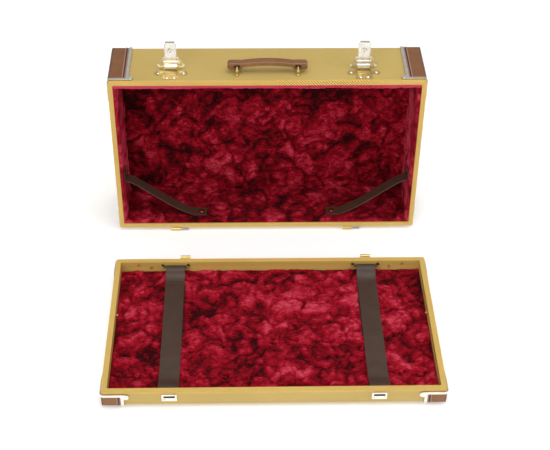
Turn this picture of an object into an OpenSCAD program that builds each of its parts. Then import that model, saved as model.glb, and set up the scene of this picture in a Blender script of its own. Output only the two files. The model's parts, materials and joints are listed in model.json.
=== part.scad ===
// Two-part tweed carrying case: a deep cover standing on its hinge side behind a flat base tray.
// The cover's opening faces -Y. Everything is in millimetres, +Z up, standing on z = 0.

/* [Case] */
// Outside width of both halves
case_w = 610; // [560:10:680]
// Outside height of the cover, which is also the base's front-to-back size
case_h = 356; // [330:2:400]
// Depth of the cover, from its rim to its outer face
cover_d = 126; // [110:1:150]
// Depth of the base tray, from its rim to its underside
base_d = 34; // [34:1:46]
// Radius of the outside edges
edge_r = 4.5; // [4:0.5:10]
// Distance from the base's back face to the cover's rim, with the cover lifted off
stand_gap = 138; // [120:1:180]
// Sideways offset of the lifted-off cover from the base
stand_shift = 5; // [0:1:10]

/* [Shell] */
// Thickness of the plywood walls
ply_t = 7; // [6:0.5:9]
// Thickness of the plywood panels
panel_t = 6; // [5:0.5:8]
// Thickness of the woven covering
skin_t = 1; // [0.8:0.1:1.2]
// Thickness of the cover's plush lining
plush_t = 7; // [3:0.5:9]
// Thickness of the base's plush pad
pad_t = 8; // [6:0.5:10]
// Gap between the two rims when the case is shut
rim_gap = 0.4; // [0.3:0.1:1]

/* [Corners] */
// Reach of a corner cap along each edge
cap_reach = 39.5; // [36:0.5:50]
// Thickness of the corner leather
leather_t = 1.5; // [1.2:0.1:2]
// Width of the metal trim bars on a corner
trim_w = 5.5; // [5:0.5:8]
// Thickness of the metal trim bars
trim_t = 1.4; // [1:0.1:1.6]

/* [Hardware] */
// Distance of each latch from the case's middle
latch_x = 185.5; // [170:0.5:200]
// Distance of each hinge from the case's middle
hinge_x = 178.5; // [160:0.5:200]
// Offset of the hinge axis from the hinge wall
hinge_out = 4.6; // [4.6:0.1:6]
// Length of hinge pin that stands out of the cover's knuckle
pin_reach = 16; // [12:1:18]
// Distance of each handle loop from the case's middle
handle_loop_x = 58.5; // [50:0.5:70]
// Distance from the cover's rim to the middle of the handle
handle_d = 36; // [34:1:60]
// Distance of each tie strap from the case's middle
strap_x = 188; // [150:1:220]
// Width of the tie straps
strap_w = 37; // [25:1:40]
// Height of the glides on the hinge side
glide_h = 9; // [9:0.5:14]
// Height of the rubber feet under the base
foot_h = 6; // [6:0.5:12]

/* [Hidden] */
$fn = 48;

// Overshoot of a cut past the face it starts from
cut = 1;
// Clearance of a shank in its hole, and of a turning pin in its bore
shank_gap = 0.1;
turn_gap = 0.05;

// Walls and rims, as distances from the case's middle
half_w = case_w / 2;
half_h = case_h / 2;
wall_in = skin_t + ply_t;
floor_in = skin_t + panel_t;
binding_t = 0.6;
binding_out = 5;

// Metal and rivets on the corners
trim_top = leather_t + trim_t;
rivet_rise = 0.9;
corner_proud = trim_top + rivet_rise;
rivet_inset = cap_reach + 4;
tab_r = 6;
rivet_depth = binding_out + 3.2;
blind = 7;

// Strikes on the base's front wall
strike_w = 27;
strike_top = 5;
strike_h = 16;
strike_t = 3;
strike_slot = [20, 4.5];
strike_slot_top = 8.5;
strike_rivet_rise = 1;

// Hinges: pin in tube in rolled eye
pin_r = 1.75;
tube_in = pin_r + turn_gap;
tube_r = 2.5;
eye_in = tube_r + turn_gap;
eye_r = 3.5;
leaf_t = 0.95;
leaf_l = 27;
leaf_w = 19.2;
leaf_gap = 0.3;

// Handle loops and handle
loop_rod = 2;
loop_half = 14.5;
loop_z = 17;
handle_w = 17;
handle_half = 77;
handle_t = 8;
handle_rise = 18;
handle_end_w = 21;
handle_lift = 3;

// Latches, with their barrel's axis over the handle wall
pivot_d = 44;
pivot_z = 8;
barrel_r = 5;
barrel_half = 12;
pivot_pin_r = 1.5;
lever_w = 23.4;
lever_reach = 54.5;
lever_axis = 10;
lever_pin_r = 1.25;
lever_neck = 6;
lip_w = 18;
lip_l = 7.2;
window_low = lever_axis - 2.9;
cheek_r = 3.6;
sheet_t = 1.2;

// Straps
strap_t = 2.5;
wire_r = 1.5;
wire_off = 6;
wire_z = floor_in + pad_t + 11;
stay_w = 25;
stay_t = 2.2;
stay_d = 32;

// Places in the frame
front_proud = max(strike_t + strike_rivet_rise, corner_proud);
base_x = stand_shift / 2;
cover_x = -stand_shift / 2;
base_back_y = (case_h + front_proud - stand_gap - cover_d - corner_proud) / 2;
rim_y = base_back_y + stand_gap;
base_axis_y = base_back_y + hinge_out;
base_axis_z = foot_h + base_d + rim_gap / 2;

// ---------- Placing ----------

// Half-shell frame of the base: big face down, rim up, hinge side at +Y
module in_base() {
    translate([base_x, base_back_y - half_h, foot_h]) children();
}

// Frame of the cover: x across, y back from the rim, z up from the hinge wall
module in_cover() {
    translate([cover_x, rim_y, glide_h]) children();
}

// Half-shell frame of the cover: big face at the back, rim towards -Y, handle side up
module in_cover_shell() {
    in_cover() translate([0, cover_d, half_h]) rotate([90, 0, 0]) children();
}

// Frame on the outside of the handle wall, at its rim edge
module on_handle_wall() {
    in_cover() translate([0, 0, case_h]) children();
}

// Frame on the outside of the base's back wall at its rim: y outwards, z down into the base
module on_base_back() {
    translate([base_x, base_back_y, foot_h + base_d]) children();
}

// The same frame on the cover's hinge wall
module on_cover_hinge_wall() {
    in_cover() rotate([90, 0, 0]) mirror([0, 1, 0]) children();
}

module left_and_right() {
    children();
    mirror([1, 0, 0]) children();
}

// ---------- Shared shapes ----------

module dome(r, h) {
    ball = (r * r + h * h) / (2 * h);
    intersection() {
        translate([0, 0, h - ball]) sphere(ball);
        cylinder(r = r, h = h);
    }
}

// Rivet or screw with a domed head on z = seat and a shank down to z = -reach
module fastener(r, h, shank, seat, reach) {
    translate([0, 0, seat]) dome(r, h);
    translate([0, 0, -reach]) cylinder(r = shank, h = reach + seat + 0.2);
}

module fastener_hole(shank, top, reach) {
    translate([0, 0, -reach - 0.2]) cylinder(r = shank + shank_gap, h = reach + 0.2 + top);
}

module rounded_rect(w, l, r) {
    square([w - 2 * r, l], center = true);
    square([w, l - 2 * r], center = true);
    for (sx = [-1, 1], sy = [-1, 1])
        translate([sx * (w / 2 - r), sy * (l / 2 - r)]) circle(r);
}

// Side view of a half shell: square at the rim, rounded at the big face
module shell_side(w, depth, r) {
    translate([-w / 2, r]) square([w, depth - r]);
    translate([-w / 2 + r, 0]) square([w - 2 * r, r]);
    for (sx = [-1, 1]) translate([sx * (w / 2 - r), r]) circle(r);
}

// Outside form of a half shell, drawn in by inset, with its rim at z = depth
module shell_form(depth, inset) {
    w = case_w - 2 * inset;
    l = case_h - 2 * inset;
    r = edge_r - inset;
    tall = depth - inset;
    intersection() {
        translate([0, 0, inset]) linear_extrude(tall) rounded_rect(w, l, r);
        translate([0, half_h + 10, inset]) rotate([90, 0, 0])
            linear_extrude(case_h + 20) shell_side(w, tall, r);
        translate([-half_w - 10, 0, inset]) rotate([90, 0, 90])
            linear_extrude(case_w + 20) shell_side(l, tall, r);
    }
}

module cavity(inset, bottom, top) {
    translate([inset - half_w, inset - half_h, bottom])
        cube([case_w - 2 * inset, case_h - 2 * inset, top - bottom]);
}

// ---------- Fastener places, with +Z out of the surface ----------

module at_corner_rivets(depth) {
    for (sx = [-1, 1], sy = [-1, 1]) {
        translate([sx * (half_w - rivet_inset), sy * half_h, depth - rivet_depth])
            rotate([-90 * sy, 0, 0]) children();
        translate([sx * half_w, sy * (half_h - rivet_inset), depth - rivet_depth])
            rotate([0, 90 * sx, 0]) children();
        translate([sx * (half_w - cap_reach + trim_w / 2), sy * (half_h - cap_reach + trim_w / 2), 0])
            rotate([180, 0, 0]) children();
    }
}

module corner_holes(depth) {
    at_corner_rivets(depth) fastener_hole(1.2, corner_proud, blind);
}

module at_strike_rivets() {
    left_and_right() for (dx = [-9.5, 9.5])
        translate([latch_x + dx, -half_h, base_d - strike_top - strike_h + 4])
            rotate([90, 0, 0]) children();
}

module at_hinge_screws(x0) {
    for (p = [[5, 10.8], [leaf_w - 5, 10.8], [leaf_w / 2, 21.5]])
        translate([x0 + p[0], 0, -p[1]]) rotate([-90, 0, 0]) children();
}

module at_base_screws() {
    for (side = [-1, 1]) at_hinge_screws(side * hinge_x + leaf_gap) children();
}

module at_cover_screws() {
    for (side = [-1, 1]) at_hinge_screws(side * hinge_x - leaf_gap - leaf_w) children();
}

module at_cover_glides() {
    for (x = [-236, 236], d = [26, 100]) translate([x, d, 0]) rotate([180, 0, 0]) children();
}

module at_base_glides() {
    for (x = [-236, 236]) translate([x, half_h, base_d - 18]) rotate([-90, 0, 0]) children();
}

module at_base_feet() {
    for (sx = [-1, 1], sy = [-1, 1])
        translate([sx * (half_w - 72), sy * (half_h - 62), 0]) rotate([180, 0, 0]) children();
}

module at_handle_legs() {
    for (x = [-handle_loop_x, handle_loop_x], d = [-loop_half, loop_half])
        translate([x, handle_d + d, 0]) children();
}

module at_latch_rivets() {
    left_and_right() {
        for (dx = [-24.5, 24.5]) translate([latch_x + dx, 30, 0]) children();
        for (dx = [-7, 7]) translate([latch_x + dx, 13, 0]) children();
    }
}

module at_loop_screws() {
    for (x = [-strap_x, strap_x], dx = [-25, 25], sy = [-1, 1])
        translate([x + dx, sy * (half_h - wall_in - skin_t), wire_z]) rotate([90 * sy, 0, 0]) children();
}

module at_stay_studs() {
    for (sx = [-1, 1])
        translate([sx * (half_w - wall_in - skin_t), 28, base_d - 10]) rotate([0, -90 * sx, 0]) children();
}

module at_stay_anchors() {
    for (sx = [-1, 1])
        translate([sx * (half_w - wall_in - plush_t), stay_d, 121]) rotate([0, -90 * sx, 0]) children();
}

// ---------- Half-shell pieces, shared by base and cover ----------

module panel_ply(depth) {
    color("burlywood") difference() {
        intersection() {
            shell_form(depth, skin_t);
            translate([-half_w, -half_h, 0]) cube([case_w, case_h, floor_in]);
        }
        corner_holes(depth);
    }
}

// Walls stand on the panel; the long walls run the full width and the short ones fit between
module wall_ply(depth, side) {
    long = side == "front" || side == "back";
    color("burlywood") difference() {
        intersection() {
            shell_form(depth, skin_t);
            translate([0, 0, floor_in]) {
                if (side == "front")
                    translate([-half_w, -half_h, 0]) cube([case_w, wall_in, depth - floor_in - 1]);
                if (side == "back")
                    translate([-half_w, half_h - wall_in, 0]) cube([case_w, wall_in, depth - floor_in - 1]);
                if (side == "left")
                    translate([-half_w, wall_in - half_h, 0])
                        cube([wall_in, case_h - 2 * wall_in, depth - floor_in - 1]);
                if (side == "right")
                    translate([half_w - wall_in, wall_in - half_h, 0])
                        cube([wall_in, case_h - 2 * wall_in, depth - floor_in - 1]);
            }
        }
        corner_holes(depth);
    }
}

module tweed_skin(depth) {
    difference() {
        intersection() {
            shell_form(depth, 0);
            translate([-half_w, -half_h, 0]) cube([case_w, case_h, depth - 1]);
        }
        shell_form(depth + 5, skin_t);
        corner_holes(depth);
    }
}

// Woven edging folded over the rim; face_in is how far the inner wall face lies from the outside
module rim_binding(depth, face_in, inner_leg) {
    inner = face_in + binding_t;
    difference() {
        translate([0, 0, depth - max(binding_out, inner_leg)])
            linear_extrude(max(binding_out, inner_leg))
                rounded_rect(case_w + 2 * binding_t, case_h + 2 * binding_t, edge_r + binding_t);
        cavity(inner, 0, depth + cut);
        translate([0, 0, -cut]) linear_extrude(depth) difference() {
            rounded_rect(case_w, case_h, edge_r);
            square([case_w - 2 * face_in, case_h - 2 * face_in], center = true);
        }
        translate([0, 0, -cut]) linear_extrude(depth + cut - inner_leg)
            square([case_w - 2 * face_in, case_h - 2 * face_in], center = true);
        translate([0, 0, -cut]) linear_extrude(depth + cut - binding_out) difference() {
            square([case_w + 40, case_h + 40], center = true);
            rounded_rect(case_w, case_h, edge_r);
        }
    }
}

// Region of the four corner caps, reaching in from the corners, with a round tab near the rim
module cap_region(depth) {
    top = depth - binding_out - 0.2;
    for (sx = [-1, 1], sy = [-1, 1]) {
        translate([sx * half_w, sy * half_h, top / 2 - 5])
            cube([2 * cap_reach, 2 * cap_reach, top + 10], center = true);
        translate([sx * (half_w - cap_reach - 3), sy * half_h, depth - rivet_depth - 3])
            rotate([90, 0, 0]) cylinder(r = tab_r, h = 20, center = true);
        translate([sx * half_w, sy * (half_h - cap_reach - 3), depth - rivet_depth - 3])
            rotate([0, 90, 0]) cylinder(r = tab_r, h = 20, center = true);
    }
}

module below_binding(depth) {
    translate([-case_w, -case_h, -20]) cube([2 * case_w, 2 * case_h, depth + 20 - binding_out - 0.2]);
}

module corner_leathers(depth) {
    color([0.5, 0.31, 0.18]) difference() {
        intersection() {
            shell_form(depth, -leather_t);
            cap_region(depth);
            below_binding(depth);
        }
        shell_form(depth + 5, 0);
        corner_holes(depth);
    }
}

// Bars along the rim side and the inner ends of each cap, meeting at the tabs
module trim_region(depth) {
    top = depth - binding_out - 0.2;
    for (sx = [-1, 1], sy = [-1, 1]) {
        translate([sx * half_w, sy * half_h, top - trim_w / 2])
            cube([2 * cap_reach, 2 * cap_reach, trim_w], center = true);
        translate([sx * (half_w - cap_reach + trim_w / 2), sy * half_h, top / 2 - 5])
            cube([trim_w, 2 * cap_reach, top + 10], center = true);
        translate([sx * half_w, sy * (half_h - cap_reach + trim_w / 2), top / 2 - 5])
            cube([2 * cap_reach, trim_w, top + 10], center = true);
        translate([sx * (half_w - cap_reach - 3), sy * half_h, depth - rivet_depth - 3])
            rotate([90, 0, 0]) cylinder(r = tab_r, h = 20, center = true);
        translate([sx * half_w, sy * (half_h - cap_reach - 3), depth - rivet_depth - 3])
            rotate([0, 90, 0]) cylinder(r = tab_r, h = 20, center = true);
    }
}

module corner_trims(depth) {
    color([0.85, 0.85, 0.82]) difference() {
        intersection() {
            shell_form(depth, -trim_top);
            trim_region(depth);
            below_binding(depth);
        }
        shell_form(depth + 5, -leather_t);
        corner_holes(depth);
    }
}

module corner_rivets(depth) {
    color([0.85, 0.85, 0.82]) at_corner_rivets(depth) fastener(2.6, rivet_rise, 1.2, trim_top, blind);
}

// ---------- Hinges ----------

// One hinge half from x0: a leaf on the wall and a rolled eye at the rim, both bored at eye_hole
module hinge_half(x0, eye_hole) {
    step = binding_t + 0.1;
    difference() {
        union() {
            translate([x0, 0, -leaf_l]) cube([leaf_w, leaf_t, leaf_l - binding_out - 0.2]);
            translate([x0, step, -binding_out - 3]) cube([leaf_w, leaf_t, binding_out + 3]);
            translate([x0, step, -4]) cube([leaf_w, hinge_out - step, 3]);
            translate([x0, hinge_out, rim_gap / 2]) rotate([0, 90, 0]) cylinder(r = eye_r, h = leaf_w);
        }
        translate([x0 - cut, hinge_out, rim_gap / 2]) rotate([0, 90, 0])
            cylinder(r = eye_hole, h = leaf_w + 2 * cut);
        at_hinge_screws(x0) fastener_hole(1.2, 3, blind);
    }
}

// ---------- Latches, in a frame on the barrel's axis with the hasp standing up ----------

module latch_frame() {
    on_handle_wall() translate([0, pivot_d, pivot_z]) children();
}

module x_rod(r, half) {
    rotate([0, 90, 0]) cylinder(r = r, h = 2 * half, center = true);
}

module upright_disc(r, t = sheet_t) {
    rotate([90, 0, 0]) cylinder(r = r, h = t, center = true);
}

module hasp() {
    color([0.9, 0.9, 0.86]) difference() {
        union() {
            x_rod(barrel_r, barrel_half);
            difference() {
                union() {
                    translate([-15, -sheet_t / 2, 4]) cube([30, sheet_t, 9]);
                    left_and_right() {
                        translate([18.2, 0, 3.6]) upright_disc(8);
                        translate([0, sheet_t / 2, 0]) rotate([90, 0, 0]) linear_extrude(sheet_t) polygon([
                            [12.1, 4], [12.1, 21], [13.9, 21], [17, 14.5], [22.5, 10.5], [18, 3]
                        ]);
                    }
                }
                left_and_right() {
                    translate([18.2, 0, 3.6]) upright_disc(3, 5);
                    translate([barrel_half, -5, -6]) cube([2.8, 10, cheek_r + 0.6 + 6]);
                }
                translate([-lever_w / 2 - 0.35, -5, window_low]) cube([lever_w + 0.7, 10, 20]);
            }
            left_and_right() translate([lever_w / 2 + 0.35 + 1, 0, lever_axis]) x_rod(2.3, 1);
        }
        x_rod(pivot_pin_r + turn_gap, barrel_half + 0.5);
        translate([0, 0, lever_axis]) x_rod(lever_pin_r + shank_gap, lever_w / 2 + 2.5);
    }
}

module lever() {
    color([0.9, 0.9, 0.86]) difference() {
        union() {
            translate([0, 0, lever_axis]) x_rod(2.4, lever_w / 2);
            translate([-lever_w / 2, -sheet_t / 2, lever_axis + 1.5])
                cube([lever_w, sheet_t, lever_reach - lever_neck - lever_axis - 1.5]);
            left_and_right() translate([lever_w / 2 - sheet_t, -3, lever_axis + 6])
                cube([sheet_t, 3, lever_reach - lever_neck - lever_axis - 6]);
            translate([-lip_w / 2, -sheet_t / 2, lever_reach - lever_neck - 1])
                cube([lip_w, sheet_t, lever_neck + 1]);
            translate([-lip_w / 2, sheet_t / 2 - lip_l, lever_reach - sheet_t])
                cube([lip_w, lip_l, sheet_t]);
        }
        translate([0, 0, lever_axis]) x_rod(lever_pin_r + turn_gap, lever_w);
    }
}

module lever_pin() {
    color([0.8, 0.8, 0.78]) translate([0, 0, lever_axis]) x_rod(lever_pin_r, lever_w / 2 + 2.3);
}

module latch_base_plate() {
    color([0.83, 0.66, 0.3]) difference() {
        union() {
            translate([-15.5, 8 - pivot_d, -pivot_z]) cube([31, pivot_d, sheet_t]);
            translate([-11.5, 20 - pivot_d, -pivot_z]) cube([23, 16, 3.2]);
            left_and_right() {
                translate([24.5, 30 - pivot_d, -pivot_z]) cylinder(r = 7, h = sheet_t);
                translate([14, 24 - pivot_d, -pivot_z]) cube([10.5, 12, sheet_t]);
                translate([12.3, -cheek_r, -pivot_z]) cube([1.7, 2 * cheek_r, pivot_z]);
                translate([13.15, 0, 0]) x_rod(cheek_r, 0.85);
            }
        }
        x_rod(pivot_pin_r + shank_gap, 40);
        translate([0, -pivot_d, -pivot_z]) for (p = [[-24.5, 30], [24.5, 30], [-7, 13], [7, 13]])
            translate([p[0], p[1], 0]) fastener_hole(1.5, 5, blind);
    }
}

module latch_pair() {
    for (x = [-latch_x, latch_x]) latch_frame() translate([x, 0, 0]) children();
}

// ---------- Handle ----------

// Underside height of the handle at x: a shallow arch between the end loops
function arch(x) = handle_rise - 6.5 * pow(x / (handle_half - 14), 2);

module handle_side() {
    steps = 24;
    reach = handle_half - 14;
    difference() {
        union() {
            polygon(concat(
                [for (i = [0 : steps]) let(x = -reach + 2 * reach * i / steps) [x, arch(x)]],
                [for (i = [steps : -1 : 0]) let(x = -reach + 2 * reach * i / steps) [x, arch(x) + handle_t]]
            ));
            for (sx = [-1, 1]) translate([sx * (handle_half - 14.5), 16]) rounded_rect(29, 13, 6);
        }
        for (sx = [-1, 1]) translate([sx * handle_loop_x, loop_z - handle_lift / 2 + 0.2])
            rounded_rect(12, 2 * loop_rod + handle_lift + 0.6, 3);
    }
}

module handle_loop() {
    color([0.83, 0.66, 0.3]) {
        for (s = [-1, 1]) translate([0, s * loop_half, 0]) {
            rotate_extrude() polygon([
                [0, -wall_in - 3], [1.9, -wall_in - 3], [1.9, 0], [3.4, 0], [3.6, 2], [2.4, 4],
                [2.2, 6.5], [3.4, 8.5], [3.6, 10.5], [3.2, 12.5], [2, 14], [2, loop_z], [0, loop_z]
            ]);
            translate([0, 0, loop_z]) sphere(loop_rod);
        }
        translate([0, 0, loop_z]) rotate([90, 0, 0]) cylinder(r = loop_rod, h = 2 * loop_half, center = true);
    }
}

// ---------- Straps ----------

// Tie strap seen from the side: flat on the pad, its ends curled round the wires
module tie_strap(x) {
    reach = half_h - wall_in - skin_t - wire_off;
    low = floor_in + pad_t + 0.3;
    eye = wire_r + 0.3 + strap_t;
    color([0.33, 0.27, 0.23]) in_base() translate([x - strap_w / 2, 0, 0]) difference() {
        union() {
            translate([0, 26 - reach, low]) cube([strap_w, 2 * reach - 52, strap_t]);
            for (s = [0, 1]) mirror([0, s, 0]) {
                rotate([90, 0, 90]) linear_extrude(strap_w) polygon([
                    [reach - 32, low], [reach - 32, low + strap_t], [reach - 2, wire_z + eye - 0.4],
                    [reach + 1, wire_z - eye + 0.2], [reach - 14, low]
                ]);
                translate([0, reach, wire_z]) rotate([0, 90, 0]) cylinder(r = eye, h = strap_w);
            }
        }
        for (s = [-1, 1]) translate([-cut, s * reach, wire_z]) rotate([0, 90, 0])
            cylinder(r = wire_r + 0.3, h = strap_w + 2 * cut);
    }
}

module wire_loop() {
    color([0.3, 0.26, 0.22]) difference() {
        union() {
            x_rod(wire_r, 27.4);
            for (dx = [-25, 25]) {
                translate([dx, 0, 0]) rotate([-90, 0, 0]) cylinder(r = 2.4, h = wire_off - 0.6);
                translate([dx, wire_off - 1.2, 0]) rotate([-90, 0, 0]) cylinder(r = 2.9, h = 1.2);
            }
        }
        for (dx = [-25, 25]) translate([dx, -3, 0]) rotate([-90, 0, 0]) cylinder(r = 0.9, h = 10);
    }
}

// Droop of a stay strap: a cubic curve from the side wall down to the hinge wall
stay_from = [half_w - wall_in - plush_t - 1.4, 107];
stay_to = [150, wall_in + plush_t + 1.6];
function cubic(a, b, c, d, t) =
    pow(1 - t, 3) * a + 3 * pow(1 - t, 2) * t * b + 3 * (1 - t) * t * t * c + pow(t, 3) * d;
function stay_point(t) = cubic(stay_from, stay_from - [24, 3], [198, 32], stay_to, t);
function stay_normal(t) = let(v = stay_point(t + 0.01) - stay_point(t - 0.01)) [-v[1], v[0]] / norm(v);

module stay_strap() {
    steps = 20;
    wall_x = half_w - wall_in - plush_t - 0.3;
    low = wall_in + plush_t + 0.5;
    color([0.33, 0.27, 0.23]) difference() {
        translate([0, stay_d - stay_w / 2, 0]) union() {
            translate([0, stay_w, 0]) rotate([90, 0, 0]) linear_extrude(stay_w) polygon(concat(
                [for (i = [0 : steps]) stay_point(i / steps) + stay_t / 2 * stay_normal(i / steps)],
                [for (i = [steps : -1 : 0]) stay_point(i / steps) - stay_t / 2 * stay_normal(i / steps)]
            ));
            translate([wall_x - stay_t, 0, 105]) cube([stay_t, stay_w, 26]);
            translate([125, 0, low]) cube([27, stay_w, stay_t]);
        }
        translate([wall_x, stay_d, 121]) rotate([0, -90, 0]) cylinder(r = 1.5, h = 10, center = true);
        translate([136, stay_d, low - cut]) cylinder(r = 1.5, h = 10);
    }
}

// ---------- Base nodes ----------

module base_panel() {
    difference() {
        in_base() panel_ply(base_d);
        in_base() at_base_feet() fastener_hole(1.8, 4, 6);
    }
}

module base_front_wall() {
    difference() {
        in_base() wall_ply(base_d, "front");
        in_base() at_strike_rivets() fastener_hole(1.2, 5, blind);
        in_base() at_loop_screws() fastener_hole(1.2, 5, blind);
    }
}

module base_back_wall() {
    difference() {
        in_base() wall_ply(base_d, "back");
        on_base_back() at_base_screws() fastener_hole(1.2, 5, blind);
        in_base() at_base_glides() fastener_hole(1.5, 5, blind);
        in_base() at_loop_screws() fastener_hole(1.2, 5, blind);
    }
}

module base_left_wall() {
    difference() {
        in_base() wall_ply(base_d, "left");
        in_base() at_stay_studs() fastener_hole(1.4, 5, blind);
    }
}

module base_right_wall() {
    difference() {
        in_base() wall_ply(base_d, "right");
        in_base() at_stay_studs() fastener_hole(1.4, 5, blind);
    }
}

module base_tweed_skin() {
    color([0.8, 0.69, 0.4]) difference() {
        in_base() tweed_skin(base_d);
        in_base() at_strike_rivets() fastener_hole(1.2, 5, blind);
        on_base_back() at_base_screws() fastener_hole(1.2, 5, blind);
        in_base() at_base_glides() fastener_hole(1.5, 5, blind);
        in_base() at_base_feet() fastener_hole(1.8, 4, 6);
    }
}

module base_rim_binding() {
    color([0.83, 0.68, 0.3]) in_base() difference() {
        rim_binding(base_d, wall_in + skin_t, 11);
        at_stay_studs() fastener_hole(4.3, 3, 1);
        at_loop_screws() fastener_hole(3, 3, 1);
    }
}

module base_side_lining() {
    color([0.72, 0.62, 0.36]) in_base() difference() {
        cavity(wall_in, floor_in, base_d - 1);
        cavity(wall_in + skin_t, 0, base_d);
        at_loop_screws() fastener_hole(1.2, 5, blind);
        at_stay_studs() fastener_hole(1.4, 5, blind);
    }
}

module base_plush_pad() {
    color([0.55, 0.05, 0.12]) in_base() cavity(wall_in + skin_t + 0.3, floor_in, floor_in + pad_t);
}

module base_corner_leathers() {
    in_base() corner_leathers(base_d);
}

module base_corner_trims() {
    in_base() corner_trims(base_d);
}

module base_corner_rivets() {
    in_base() corner_rivets(base_d);
}

module base_strikes() {
    color([0.9, 0.9, 0.86]) in_base() difference() {
        left_and_right() translate([latch_x - strike_w / 2, -half_h - strike_t, base_d - strike_top - strike_h])
            difference() {
                cube([strike_w, strike_t, strike_h]);
                translate([(strike_w - strike_slot[0]) / 2, -cut,
                        strike_h + strike_top - strike_slot_top - strike_slot[1]])
                    cube([strike_slot[0], strike_t + 2 * cut, strike_slot[1]]);
            }
        at_strike_rivets() fastener_hole(1.2, 5, blind);
    }
}

module base_strike_rivets() {
    color([0.9, 0.9, 0.86]) in_base() at_strike_rivets() fastener(2, strike_rivet_rise, 1.2, strike_t, blind);
}

module base_hinge_leaves() {
    color([0.83, 0.66, 0.3]) on_base_back()
        for (side = [-1, 1]) hinge_half(side * hinge_x + leaf_gap, eye_in);
}

module base_hinge_screws() {
    color([0.83, 0.66, 0.3]) on_base_back() at_base_screws() fastener(2.3, 1, 1.2, leaf_t, blind);
}

module left_tie_strap() {
    tie_strap(-strap_x);
}

module right_tie_strap() {
    tie_strap(strap_x);
}

module strap_wire_loops() {
    reach = half_h - wall_in - skin_t - wire_off;
    in_base() for (x = [-strap_x, strap_x]) {
        translate([x, reach, wire_z]) wire_loop();
        translate([x, -reach, wire_z]) rotate([0, 0, 180]) wire_loop();
    }
}

module strap_loop_screws() {
    color([0.83, 0.66, 0.3]) in_base() at_loop_screws() {
        translate([0, 0, -blind]) cylinder(r = 0.8, h = blind + 6);
        translate([0, 0, wire_off + wire_r + 0.1]) dome(2.2, 1);
        translate([0, 0, 6]) cylinder(r = 0.8, h = 2);
    }
}

module stay_studs() {
    color([0.83, 0.66, 0.3]) in_base() at_stay_studs() rotate_extrude() polygon([
        [0, -blind], [1.4, -blind], [1.4, 0], [4.2, 0], [4.2, 1], [1.8, 1.4], [1.8, 2.6],
        [2.8, 3.4], [2.8, 4.4], [2, 5.2], [0, 5.4]
    ]);
}

module base_feet() {
    color([0.12, 0.12, 0.12]) in_base() at_base_feet() difference() {
        rotate_extrude() polygon([[0, 0], [12, 0], [10.5, foot_h], [0, foot_h]]);
        translate([0, 0, -cut]) cylinder(r = 1.9, h = foot_h + 2 * cut);
        translate([0, 0, 2.5]) cylinder(r = 4.5, h = foot_h);
    }
}

module base_foot_screws() {
    color([0.8, 0.8, 0.78]) in_base() at_base_feet() {
        translate([0, 0, -6]) cylinder(r = 1.7, h = 9);
        translate([0, 0, 2.5]) dome(4, 1.6);
    }
}

module glide() {
    translate([0, 0, glide_h - 4]) dome(8, 4);
    cylinder(r = 8, h = glide_h - 4);
    translate([0, 0, -blind]) cylinder(r = 1.5, h = blind + 1);
}

module base_back_glides() {
    color([0.83, 0.66, 0.3]) in_base() at_base_glides() glide();
}

// ---------- Socket tubes ----------

module hinge_socket_tubes() {
    color([0.75, 0.75, 0.75]) for (side = [-1, 1])
        translate([base_x + side * hinge_x + leaf_gap, base_axis_y, base_axis_z]) rotate([0, 90, 0])
            difference() {
                cylinder(r = tube_r, h = leaf_w);
                translate([0, 0, -cut]) cylinder(r = tube_in, h = leaf_w + 2 * cut);
            }
}

// ---------- Cover nodes ----------

module cover_panel() {
    in_cover_shell() panel_ply(cover_d);
}

module cover_handle_wall() {
    difference() {
        in_cover_shell() wall_ply(cover_d, "back");
        on_handle_wall() at_latch_rivets() fastener_hole(1.5, 5, blind);
        on_handle_wall() at_handle_legs() translate([0, 0, -20]) cylinder(r = 2, h = 25);
    }
}

module cover_hinge_wall() {
    difference() {
        in_cover_shell() wall_ply(cover_d, "front");
        on_cover_hinge_wall() at_cover_screws() fastener_hole(1.2, 5, blind);
        in_cover() at_cover_glides() fastener_hole(1.5, 5, blind);
    }
}

module cover_left_wall() {
    difference() {
        in_cover_shell() wall_ply(cover_d, "left");
        in_cover() at_stay_anchors() fastener_hole(1.4, 5, plush_t + 6);
    }
}

module cover_right_wall() {
    difference() {
        in_cover_shell() wall_ply(cover_d, "right");
        in_cover() at_stay_anchors() fastener_hole(1.4, 5, plush_t + 6);
    }
}

module cover_tweed_skin() {
    color([0.76, 0.65, 0.37]) difference() {
        in_cover_shell() tweed_skin(cover_d);
        on_handle_wall() at_latch_rivets() fastener_hole(1.5, 5, blind);
        on_handle_wall() at_handle_legs() translate([0, 0, -20]) cylinder(r = 2, h = 25);
        on_cover_hinge_wall() at_cover_screws() fastener_hole(1.2, 5, blind);
        in_cover() at_cover_glides() fastener_hole(1.5, 5, blind);
    }
}

module cover_rim_binding() {
    color([0.83, 0.68, 0.3]) in_cover_shell() rim_binding(cover_d, wall_in, 3);
}

module cover_side_lining() {
    color([0.55, 0.05, 0.12]) difference() {
        in_cover_shell() difference() {
            cavity(wall_in, floor_in + plush_t, cover_d - 3.3);
            cavity(wall_in + plush_t, 0, cover_d);
        }
        in_cover() at_stay_anchors() fastener_hole(1.4, 5, plush_t + 6);
        on_handle_wall() at_handle_legs() translate([0, 0, -20]) cylinder(r = 6.5, h = 25);
    }
}

module cover_panel_lining() {
    color([0.5, 0.04, 0.1]) in_cover_shell() cavity(wall_in, floor_in, floor_in + plush_t - 0.05);
}

module cover_corner_leathers() {
    in_cover_shell() corner_leathers(cover_d);
}

module cover_corner_trims() {
    in_cover_shell() corner_trims(cover_d);
}

module cover_corner_rivets() {
    in_cover_shell() corner_rivets(cover_d);
}

module cover_hinge_leaves() {
    color([0.83, 0.66, 0.3]) on_cover_hinge_wall()
        for (side = [-1, 1]) hinge_half(side * hinge_x - leaf_gap - leaf_w, pin_r);
}

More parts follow.
